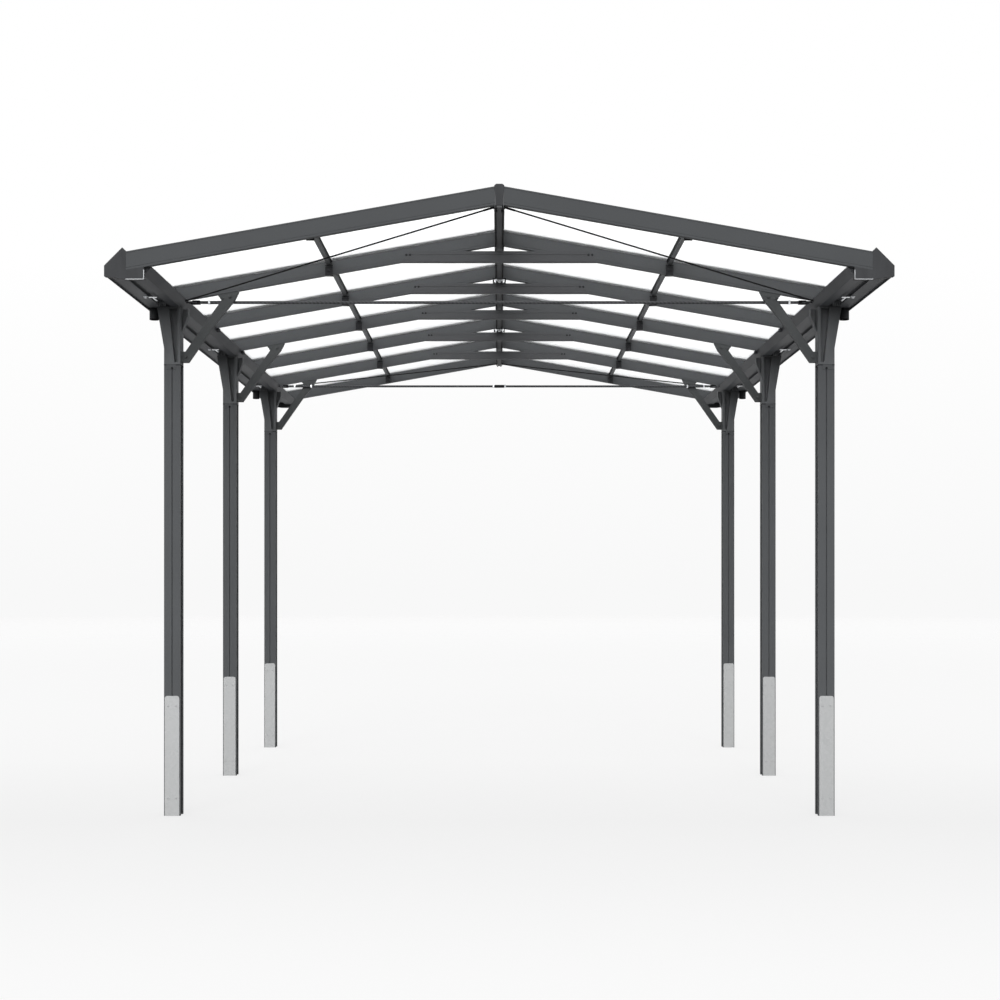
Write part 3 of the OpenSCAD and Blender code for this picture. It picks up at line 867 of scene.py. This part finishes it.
# %% Make the ridge joints
SPIDER_AWAY, ARM_IN, ARM_OUT, CLAW_IN, CLAW_OUT = 0.06, 0.004, 0.024, 0.018, 0.0255
HOOK_IN, HOOK_LEG, HOOK_OUT, PRONG_IN, PRONG_OUT = 0.029, 0.033, 0.037, 0.009, 0.016

begin("ridge_spiders")
for n in (3, 5):
    for face in (-1, 1):
        y = rafter_y[n] + face * SPIDER_AWAY
        for s in (-1, 1):
            block(
                (s * ARM_IN, y - 0.006, RIDGE_LOW - 0.011),
                (s * ARM_OUT, y + 0.006, RIDGE_LOW - 0.001),
                0.0015,
            )
            block(
                (s * CLAW_IN, y - 0.006, RIDGE_LOW - 0.022),
                (s * CLAW_OUT, y + 0.006, RIDGE_LOW - 0.003),
                0.0015,
            )
        nut_at = (0, y, RIDGE_LOW - 0.0115)
        bpy.ops.mesh.primitive_cylinder_add(
            vertices=6, radius=0.0105, depth=0.02, location=nut_at, rotation=(math.pi / 2, 0, 0)
        )
        bpy.ops.mesh.bevel(offset=0.0015, segments=1)
finish_piece(done(), "galvanised_steel", zinc)

begin("ridge_hooks")
for n in (3, 5):
    for face in (-1, 1):
        y = rafter_y[n] + face * SPIDER_AWAY
        for s in (-1, 1):
            block(
                (s * HOOK_IN, y - 0.007, RIDGE_LOW - 0.018),
                (s * HOOK_OUT, y + 0.007, RIDGE_LOW - 0.006),
                0.0015,
            )
            block(
                (s * CLAW_IN, y - 0.004, RIDGE_LOW - 0.001),
                (s * HOOK_OUT, y + 0.004, RIDGE_LOW + 0.004),
                0.001,
            )
            block(
                (s * HOOK_LEG, y - 0.004, RIDGE_LOW - 0.008),
                (s * HOOK_OUT, y + 0.004, RIDGE_LOW + 0.003),
                0.001,
            )
for face in (-1, 1):
    for s in (-1, 1):
        y = face * (HALF_L - 0.03)
        block(
            (s * PRONG_IN, y - 0.006, RIDGE_LOW - 0.012),
            (s * PRONG_OUT, y + 0.006, RIDGE_LOW + 0.001),
            0.0015,
        )
finish_piece(done(), "coated_aluminium_ridge", rod_black)

# painted shade: black strips along the edges of the ridge's underside stand for the shade in its slots
RIDGE_HALF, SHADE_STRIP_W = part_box("ridge_caps")[1].x - 0.0015, 0.0045
begin("ridge_edge_shade_strips")
for s in (-1, 1):
    start = (s * (RIDGE_HALF - SHADE_STRIP_W), -HALF_L + 0.002, RIDGE_LOW - 0.0012)
    block(start, (s * RIDGE_HALF, HALF_L - 0.002, RIDGE_LOW + 0.001), 0.0005)
finish_piece(done(), "coated_aluminium_ridge", rubber)

# %% [markdown]
# ## Ends of the rods and wires
# A turnbuckle sits near each end of a tie rod, and the rear rod has a coupler in its middle. Their lock
# nuts are zinc-plated, and catch the light as small bright rings. A fork joins the rod to the gutter
# beam. Each brace wire ends in a swaged sleeve at both of its lugs.

# %% Fit the rods and wires
NUT_OUTER, NUT_INNER, COUPLER_NUT = 0.108, 0.228, 0.042
COUPLER_HALF, COUPLER_R = 0.036, 0.01

nut_master = begin("nut")
bpy.ops.mesh.primitive_cylinder_add(vertices=6, radius=0.0122, depth=0.009)
pick("faces", lambda f: abs(f.normal.z) > 0.9)
bpy.ops.mesh.inset(thickness=0.0012)
bpy.ops.transform.resize(value=(1, 1, 1.15))
nut_master = done()

moves = []
begin("tie_rod_forks")
for end in ("front", "rear"):
    low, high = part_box(f"{end}_tie_rod")
    y, z = (low.y + high.y) / 2, (low.z + high.z) / 2
    if end == "rear":
        corner = (-COUPLER_HALF, y - COUPLER_R, z - COUPLER_R)
        block(corner, (COUPLER_HALF, y + COUPLER_R, z + COUPLER_R), 0.004)
    for s in (-1, 1):
        for x in (SEAT_X - NUT_INNER, SEAT_X - NUT_OUTER) + ((COUPLER_NUT,) if end == "rear" else ()):
            moves.append(facing((s * x, y, z), (s, 0, 0), 0.3))
        block(
            (s * (SEAT_X - 0.05), y - 0.011, z - 0.0105),
            (s * (SEAT_X - 0.016), y + 0.011, z - 0.004),
            0.0015,
        )
        block(
            (s * (SEAT_X - 0.05), y - 0.011, z + 0.003),
            (s * (SEAT_X - 0.022), y + 0.011, z + 0.0095),
            0.0015,
        )
        block(
            (s * (SEAT_X - 0.062), y - 0.0105, z - 0.0105),
            (s * (SEAT_X - 0.044), y + 0.0105, z + 0.0095),
            0.002,
        )
finish_piece(done(), "black_steel_rod", rod_black)
finish_piece(put_by(moves, nut_master, "tie_rod_nuts"), "galvanised_steel", zinc)
drop(nut_master)

LUG_IN, RIDGE_LUG_X, RIDGE_LUG_DOWN, BEAM_LUG_UP = 0.005, 0.0245, 0.007, 0.034
SLEEVE_FROM_RIDGE, SLEEVE_FROM_BEAM = 0.03, 0.035

sleeve = begin("sleeve")
bpy.ops.mesh.primitive_cylinder_add(vertices=16, radius=0.0052, depth=0.045)
pick("faces", lambda f: abs(f.normal.z) > 0.9)
bpy.ops.mesh.inset(thickness=0.0012)
bpy.ops.transform.resize(value=(1, 1, 1.08))
sleeve = done()
moves = []
for end in ("front", "rear"):
    low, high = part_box(f"{end}_brace_wires")
    outer, inner = low.y + LUG_IN, high.y - LUG_IN
    if end == "rear":
        outer, inner = inner, outer
    for s in (-1, 1):
        ridge_end = Vector((s * RIDGE_LUG_X, outer, high.z - RIDGE_LUG_DOWN))
        beam_end = Vector((s * (SEAT_X - 0.002), inner, EAVE + BEAM_LUG_UP))
        way = (beam_end - ridge_end).normalized()
        moves.append(facing(ridge_end + way * SLEEVE_FROM_RIDGE, way))
        moves.append(facing(beam_end - way * SLEEVE_FROM_BEAM, way))
finish_piece(put_by(moves, sleeve, "wire_sleeves"), "black_steel_rod", rod_black)
drop(sleeve)

# %% [markdown]
# ## Trim at the gutters
# A lighter lip of drawn aluminium runs round each gutter cap's lower inner corner, a painted highlight
# for the thin bright line along those edges. Each outlet ends in a dark bead that keeps its rim stiff.


# %% Make the drawn aluminium for the painted highlight on the caps
lip_highlight_aluminium, tree = new_material("lip_highlight_drawn_aluminium")
place = add(tree, "ShaderNodeTexCoord").outputs["Object"]
stretched = add(tree, "ShaderNodeMapping", {"Vector": place, "Scale": (40.0, 600.0, 600.0)})
drawn = add(tree, "ShaderNodeTexNoise", {"Vector": stretched.outputs[0], "Scale": 1.0, "Detail": 2.0})
tint = add(
    tree,
    "ShaderNodeMix",
    {"Factor": drawn.outputs["Fac"], 6: linear("#8f9193"), 7: linear("#a6a8aa")},
    data_type="RGBA",
)
polish = add(tree, "ShaderNodeMapRange", {"Value": drawn.outputs["Fac"], "To Min": 0.35, "To Max": 0.5})
shader = add(
    tree,
    "ShaderNodeBsdfPrincipled",
    {"Base Color": tint.outputs[2], "Roughness": polish.outputs["Result"], "Metallic": 0.6},
)
add(tree, "ShaderNodeOutputMaterial", {"Surface": shader.outputs[0]})
print("made", lip_highlight_aluminium.name)

# %% Trim the caps and outlets
low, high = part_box("right_gutter_caps")
CAP_IN, CAP_LOW, CAP_FACE = low.x, low.z, high.y
LIP_L, LIP_H, LIP_T = 0.084, 0.044, 0.0025

# painted highlight: light lips along the caps' lower inner edges
begin("gutter_cap_highlight_lips")
for s in (-1, 1):
    for face in (-1, 1):
        near, far = face * (CAP_FACE - 0.002), face * (CAP_FACE + 0.0015)
        block((s * CAP_IN, near, CAP_LOW - 0.001), (s * (CAP_IN + LIP_L), far, CAP_LOW + LIP_T), 0.0004)
        block(
            (s * (CAP_IN - 0.001), near, CAP_LOW - 0.001),
            (s * (CAP_IN + LIP_T), far, CAP_LOW + LIP_H),
            0.0004,
        )
finish_piece(done(), "coated_aluminium_gutters", lip_highlight_aluminium)

collar_ring = begin("outlet_collar")
OUTLET_R = 0.024
RING_R, RING_H = OUTLET_R - 0.0012, 0.006
bpy.ops.mesh.primitive_circle_add(
    vertices=4, radius=0.001, location=(RING_R, 0, 0), rotation=(math.pi / 2, math.pi / 4, 0)
)
bpy.ops.transform.resize(value=(1.6, 1, RING_H / 0.0014), center_override=(RING_R, 0, 0))
bpy.ops.mesh.spin(steps=40, angle=2 * math.pi, center=(0, 0, 0), axis=(0, 0, 1))
collar_ring = done()
low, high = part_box("gutter_outlets")
moves = []
for s in (-1, 1):
    for y in (low.y + OUTLET_R, high.y - OUTLET_R):
        moves.append(Matrix.Translation((s * (high.x - OUTLET_R), y, low.z)))
finish_piece(put_by(moves, collar_ring, "outlet_collars"), "moulded_outlets", rubber)
drop(collar_ring)

# %% [markdown]
# ## On the roof
# The glazing bars press the sheets down on black gaskets, with a screw every 0.3 m and a moulded stop at
# the lower end. A channel closes the lower edge of each sheet against dirt and insects. They are modelled
# flat at the origin, along the slope's own direction, and then laid on the roof.


# %% Finish the roof
def on_roof(side, x, y, lift):
    """A move onto the roof slope, with local +X down the slope, at a height above the sheets' base."""
    spot = Vector((side * x, y, under(x) + SHEET_BASE + lift))
    half_turn = Matrix.Rotation(0 if side > 0 else math.pi, 4, "Z")
    return Matrix.Translation(spot) @ half_turn @ Matrix.Rotation(PITCH, 4, "Y")


low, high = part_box("right_glazing_bars")
BAR_IN, BAR_OUT, ROOF_BAR_W = low.x, high.x, 2 * (rafter_y[2] - low.y)
BAR_LIFT = high.z - under(BAR_IN) - SHEET_BASE
SHEET_T, SEAL_PROUD = 0.0061, 0.0015
SCREWS, FIRST_SCREW, SCREW_STEP = 6, 0.08, 0.3

gasket = begin("gasket")
run = (BAR_OUT - BAR_IN) / math.cos(PITCH)
block((0, -0.0015, 0), (run, 0.0015, 0.0035), 0.0006)
gasket = done()
stop = begin("stop")
stop_top = (0.005, ROOF_BAR_W / 2 + SEAL_PROUD, BAR_LIFT - SHEET_T + 0.001)
block((0, -ROOF_BAR_W / 2 - SEAL_PROUD, -0.001), stop_top, 0.0012)
stop = done()
gasket_moves, stop_moves, screw_moves = [], [], []
for s in (-1, 1):
    for y in rafter_y.values():
        for edge in (-1, 1):
            gasket_moves.append(on_roof(s, BAR_IN, y + edge * (ROOF_BAR_W / 2 + SEAL_PROUD), SHEET_T))
        stop_moves.append(on_roof(s, BAR_OUT, y, SHEET_T))
        for k in range(SCREWS):
            place = on_roof(s, BAR_IN + FIRST_SCREW + SCREW_STEP * k, y, BAR_LIFT)
            screw_moves.append(place @ Matrix.Scale(0.9, 4))
finish_piece(put_by(gasket_moves, gasket, "bar_gaskets"), "coated_aluminium_rafters", rubber)
finish_piece(put_by(stop_moves, stop, "bar_stops"), "moulded_caps", cap_nylon)
finish_piece(put_by(screw_moves, dome, "bar_screws"), "galvanised_steel", zinc)
drop(gasket)
drop(stop)

begin("sheet_closers")
ys = sorted(rafter_y.values())
starts = [-HALF_L] + [y + ROOF_BAR_W / 2 for y in ys]
stops = [y - ROOF_BAR_W / 2 for y in ys] + [HALF_L]
for s in (-1, 1):
    for y0, y1 in zip(starts, stops):
        z = under(SHEET_END) + SHEET_BASE
        block(
            (s * (SHEET_END - 0.008), y0, z + 0.0075), (s * (SHEET_END + 0.0015), y1, z + 0.009), 0.0003
        )
        block((s * SHEET_END, y0, z - 0.0015), (s * (SHEET_END + 0.0015), y1, z + 0.0085), 0.0003)
finish_piece(done(), "coated_aluminium_gutters", gutter_coat)

# %% [markdown]
# ## Under the roof
# The three middle rafters are bolted to cleats on the gutter beams' inner faces. A purlin's bracket
# carries a darker plate with a bolt, and black seals run along the purlin's edges.

# %% Make the cleats
begin("rafter_cleats")
CLEAT_T, CLEAT_LOW, CLEAT_TOP = 0.004, 0.017, 0.038
moves = []
for n in (3, 4, 5):
    for s in (-1, 1):
        for face in (-1, 1):
            near = rafter_y[n] + face * (RAFTER_T / 2 + 0.0005)
            outside = near + face * CLEAT_T
            block(
                (s * (SEAT_X - 0.013), near, EAVE + CLEAT_LOW),
                (s * (SEAT_X + 0.006), outside, EAVE + CLEAT_TOP),
                0.0008,
            )
            place = facing((s * (SEAT_X - 0.005), outside, EAVE + 0.0275), (0, face, 0))
            moves.append(place @ Matrix.Scale(0.8, 4))
finish_piece(done(), "coated_aluminium_gutters", gutter_coat)
finish_piece(put_by(moves, bolt, "rafter_cleat_bolts"), "black_steel_rod", rod_black)

# %% Fit the purlins' brackets and edges
low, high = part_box("right_purlins")
PURLIN_X, PURLIN_HALF, BRACKET_T = (low.x + high.x) / 2, 0.015, 0.008
RAFTER_UPRIGHT, FLANGE_T = 0.0711, 0.008
PURLIN_LOW = RAFTER_UPRIGHT - FLANGE_T
PLATE_HALF, HOOD_HALF = 0.019, 0.02

begin("purlin_bracket_plates")
moves = []
gables = [(-HALF_L + RAFTER_T / 2, (1,)), (HALF_L - RAFTER_T / 2, (-1,))]
for y, faces in gables + [(y, (-1, 1)) for y in rafter_y.values()]:
    for face in faces:
        near = y + face * (RAFTER_T / 2 + BRACKET_T)
        for s in (-1, 1):
            z = under(PURLIN_X)
            plate = (s * (PURLIN_X - PLATE_HALF), near - face * SINK, z - 0.002)
            block(plate, (s * (PURLIN_X + PLATE_HALF), near + face * 0.0015, z + 0.04), 0.0008)
            hood = (s * (PURLIN_X - HOOD_HALF), near - face * SINK, z + 0.042)
            block(hood, (s * (PURLIN_X + HOOD_HALF), near + face * 0.005, z + 0.048), 0.001)
            place = facing((s * PURLIN_X, near + face * 0.0015, z + 0.02), (0, face, 0), 0.1)
            moves.append(place @ Matrix.Scale(0.7, 4))
finish_piece(done(), "coated_aluminium_purlins", bracket_black)
finish_piece(put_by(moves, bolt, "purlin_bracket_bolts"), "coated_aluminium_purlins", bracket_black)

begin("purlin_edge_seals")
SEAL_SHORT = 0.024
bays = [-HALF_L + RAFTER_T / 2] + list(rafter_y.values()) + [HALF_L - RAFTER_T / 2]
for y0, y1 in zip(bays, bays[1:]):
    for s in (-1, 1):
        for edge in (-1, 1):
            x0, x1 = PURLIN_X + edge * (PURLIN_HALF - 0.0035), PURLIN_X + edge * (PURLIN_HALF + 0.001)
            z = under(PURLIN_X + edge * PURLIN_HALF) + PURLIN_LOW
            block((s * x0, y0 + SEAL_SHORT, z - 0.0012), (s * x1, y1 - SEAL_SHORT, z + 0.0015), 0.0004)
finish_piece(done(), "coated_aluminium_purlins", rubber)

# %% [markdown]
# ## The studio
# A wide pale floor and an even white sky. Only lamps and sky light the object, at a plain level at which
# a colour renders about as it is written. What the camera, a glossy surface or clear plastic sees of the
# sky is white, by the Light Path node, and the light itself stays soft and lower. The floor fades out
# far away, so that no horizon shows, and keeps the soft shadows where the posts stand.
# The floor's glow is painted a little darker just in front of the carport, a painted shadow.

# %% Light the studio
world = bpy.data.worlds.new("studio")
bpy.context.scene.world = world
world.use_nodes = True
tree = world.node_tree
tree.nodes.clear()
SKY_LIGHT = 0.5
path = add(tree, "ShaderNodeLightPath")
seen = add(tree, "ShaderNodeMath", {0: path.outputs["Diffuse Depth"], 1: 0.5}, operation="LESS_THAN")
height = add(
    tree, "ShaderNodeSeparateXYZ", {"Vector": add(tree, "ShaderNodeTexCoord").outputs["Generated"]}
)
rise = add(tree, "ShaderNodeMapRange", {"Value": height.outputs["Z"], "From Min": 0.0, "From Max": 0.2})
shown = add(
    tree,
    "ShaderNodeMix",
    {"Factor": rise.outputs["Result"], 6: linear("#f8f8f8"), 7: linear("#ffffff")},
    data_type="RGBA",
)
strength = add(tree, "ShaderNodeMapRange", {"Value": seen.outputs[0], "To Min": SKY_LIGHT, "To Max": 1.0})
sky = add(
    tree, "ShaderNodeBackground", {"Color": shown.outputs[2], "Strength": strength.outputs["Result"]}
)
add(tree, "ShaderNodeOutputWorld", {"Surface": sky.outputs[0]})


def sun(name, strength, angle, direction):
    """A soft sun that shines along a direction."""
    data = bpy.data.lights.new(name, "SUN")
    data.energy = strength
    data.angle = math.radians(angle)
    lamp = bpy.data.objects.new(name, data)
    lamp.rotation_euler = Vector(direction).to_track_quat("-Z", "Y").to_euler()
    bpy.context.scene.collection.objects.link(lamp)
    return lamp


key = sun("key", 1.9, 50, (0.1, 0.9, -0.38))
back = sun("back", 0.7, 90, (0.1, -0.7, -0.6))
print("sky", SKY_LIGHT, "key", key.data.energy, "back", back.data.energy)

# %% Lay the floor
FLOOR_R, FADE_FROM, GLOW = 60.0, 14.0, 0.8
TONES_FROM, TONES_SPAN = -6.0, 20.0
# painted shadow: the floor's glow is darker near the front of the carport
FLOOR_PAINTED_SHADOW_TONES = (
    (-5.0, "#ffffff"),
    (-3.4, "#f9f9f9"),
    (-1.9, "#f5f5f5"),
    (0.8, "#fcfcfc"),
    (4.0, "#fdfdfd"),
    (12.0, "#fdfdfd"),
)
deselect()
bpy.ops.mesh.primitive_circle_add(vertices=96, radius=FLOOR_R, fill_type="NGON", location=(0, 0, 0))
floor = bpy.context.object
floor.name = "floor"
floor_paint, tree = new_material("matt_white_floor")
place = add(tree, "ShaderNodeTexCoord").outputs["Object"]
far = add(tree, "ShaderNodeVectorMath", {0: place}, operation="LENGTH")
fade = add(
    tree,
    "ShaderNodeMapRange",
    {"Value": far.outputs["Value"], "From Min": FADE_FROM, "From Max": FLOOR_R * 0.9},
)
path = add(tree, "ShaderNodeLightPath")
seen = add(tree, "ShaderNodeMath", {0: path.outputs["Diffuse Depth"], 1: 0.5}, operation="LESS_THAN")
share = add(tree, "ShaderNodeMath", {0: seen.outputs[0], 1: GLOW}, operation="MULTIPLY")
tone = add(
    tree,
    "ShaderNodeMix",
    {"Factor": seen.outputs[0], 6: linear("#585858"), 7: linear("#efefef")},
    data_type="RGBA",
)
paint = add(tree, "ShaderNodeBsdfDiffuse", {"Color": tone.outputs[2]})
along = add(tree, "ShaderNodeSeparateXYZ", {"Vector": place})
spread = add(
    tree,
    "ShaderNodeMapRange",
    {"Value": along.outputs["Y"], "From Min": TONES_FROM, "From Max": TONES_FROM + TONES_SPAN},
)
bands = add(tree, "ShaderNodeValToRGB", {"Fac": spread.outputs["Result"]})
ramp = bands.color_ramp
while len(ramp.elements) < len(FLOOR_PAINTED_SHADOW_TONES):
    ramp.elements.new(0.5)
for element, (y, grey) in zip(ramp.elements, FLOOR_PAINTED_SHADOW_TONES):
    element.position = (y - TONES_FROM) / TONES_SPAN
    element.color = linear(grey)
glow = add(tree, "ShaderNodeEmission", {"Color": bands.outputs[0], "Strength": 1.0})
mixed = add(tree, "ShaderNodeMixShader", {0: share.outputs[0], 1: paint.outputs[0], 2: glow.outputs[0]})
clear = add(tree, "ShaderNodeBsdfTransparent")
faded = add(
    tree, "ShaderNodeMixShader", {0: fade.outputs["Result"], 1: mixed.outputs[0], 2: clear.outputs[0]}
)
add(tree, "ShaderNodeOutputMaterial", {"Surface": faded.outputs[0]})
floor.data.materials.append(floor_paint)
print("floor radius", FLOOR_R)

# %% [markdown]
# ## Last things
# The masters go.

# %% Finish
deselect()
for master in (bolt, dome):
    drop(master)
